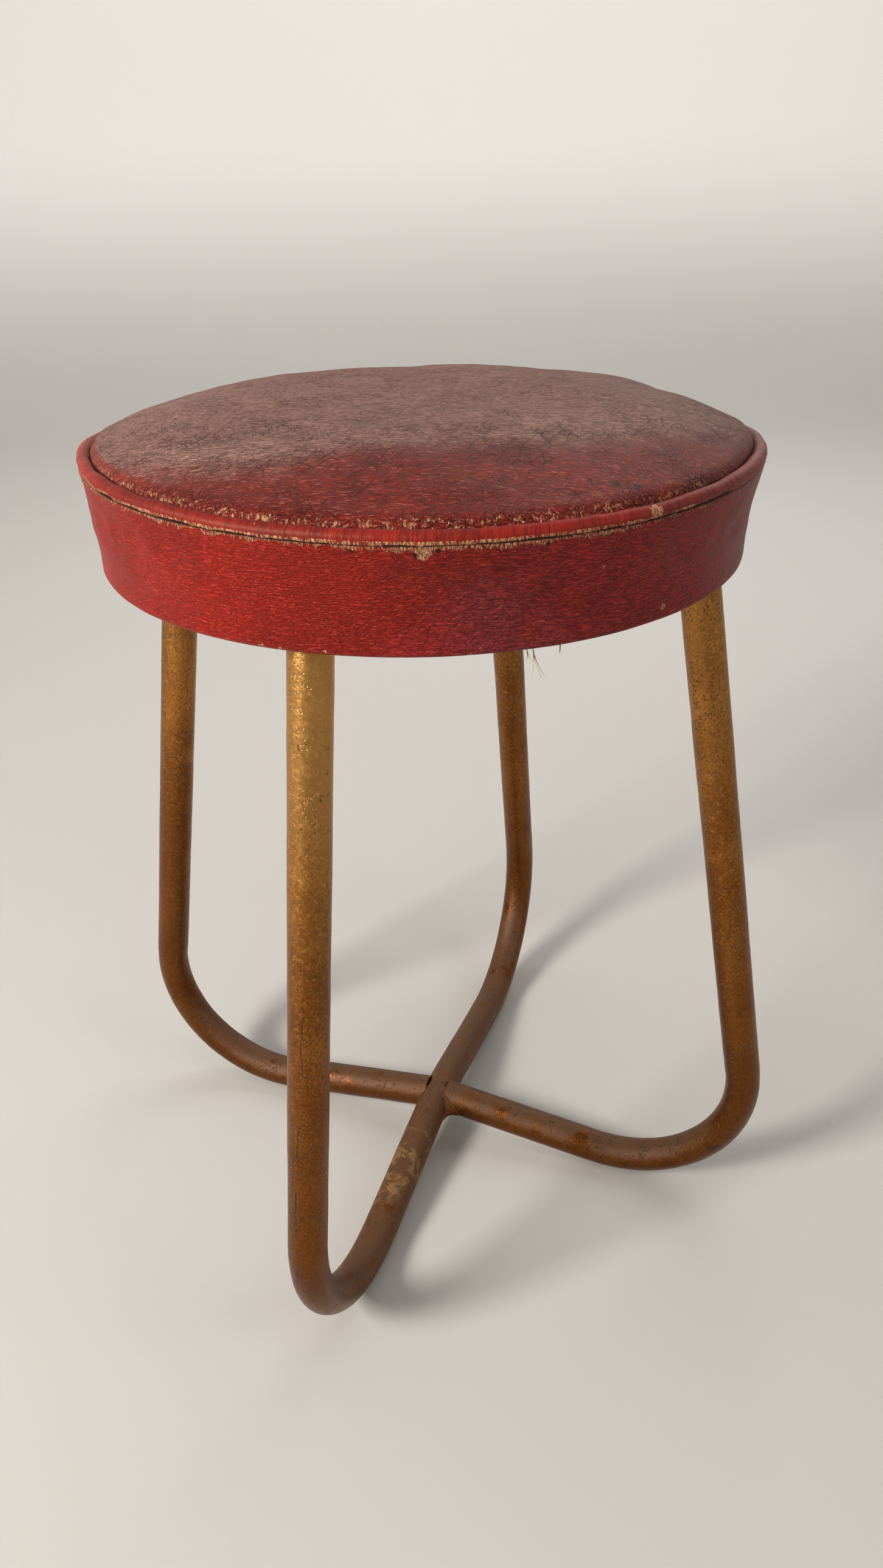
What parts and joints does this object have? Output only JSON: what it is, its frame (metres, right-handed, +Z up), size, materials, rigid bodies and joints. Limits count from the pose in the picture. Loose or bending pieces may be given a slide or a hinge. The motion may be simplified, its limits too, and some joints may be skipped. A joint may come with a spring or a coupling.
{
  "type": "upholstered stool",
  "caption": "Low round padded stool: piped leathercloth seat on a cross of bent round steel tube hoops with splayed legs.",
  "frame": {"origin": "on the floor, under the point where the bottom tubes cross", "axes": "+Z up; +Y from the front leg to the back leg, along the continuous hoop; +X from the left leg to the right leg, along the half hoops"},
  "size_m": [0.4016, 0.4016, 0.4721],
  "materials": {
    "gold_paint": "worn gold-bronze paint on bent round steel tube, pitted and scratched",
    "fastener_steel": "dull, lightly rusted tacks and wood screws",
    "red_leathercloth": "red grained leathercloth, semi-gloss, scuffed along the bottom edge",
    "welt_leathercloth": "red leathercloth piping, worn through to tan threads along the seams",
    "faded_leathercloth": "red leathercloth faded to a dusty red-brown, finely cracked",
    "plywood": "bare plywood",
    "coir_fibre": "rubbed coir fibre pad",
    "cotton_felt": "cotton felt wadding",
    "hessian": "coarse jute hessian",
    "piping_cord": "twisted cotton piping cord"
  },
  "bodies": {
    "root": {"front_back_hoop": "gold_paint", "left_half_hoop": "gold_paint", "right_half_hoop": "gold_paint", "left_cross_weld": "gold_paint", "right_cross_weld": "gold_paint", "front_leg_weld": "gold_paint", "back_leg_weld": "gold_paint", "left_leg_weld": "gold_paint", "right_leg_weld": "gold_paint", "long_bar": "gold_paint", "left_bar": "gold_paint", "right_bar": "gold_paint", "left_bar_weld": "gold_paint", "right_bar_weld": "gold_paint", "front_bar_screw_1": "fastener_steel", "front_bar_screw_2": "fastener_steel", "back_bar_screw_1": "fastener_steel", "back_bar_screw_2": "fastener_steel", "left_bar_screw_1": "fastener_steel", "left_bar_screw_2": "fastener_steel", "right_bar_screw_1": "fastener_steel", "right_bar_screw_2": "fastener_steel", "hem_tack_01": "fastener_steel", "hem_tack_02": "fastener_steel", "hem_tack_03": "fastener_steel", "hem_tack_04": "fastener_steel", "hem_tack_05": "fastener_steel", "hem_tack_06": "fastener_steel", "hem_tack_07": "fastener_steel", "hem_tack_08": "fastener_steel", "hem_tack_09": "fastener_steel", "hem_tack_10": "fastener_steel", "hem_tack_11": "fastener_steel", "hem_tack_12": "fastener_steel", "hem_tack_13": "fastener_steel", "hem_tack_14": "fastener_steel", "hem_tack_15": "fastener_steel", "hem_tack_16": "fastener_steel", "seat_board": "plywood", "dust_cover": "hessian", "coir_pad": "coir_fibre", "cotton_pad": "cotton_felt", "seat_top_cover": "faded_leathercloth", "welt_cover": "welt_leathercloth", "welt_cord": "piping_cord", "side_band": "red_leathercloth"}
  },
  "joints": []
}
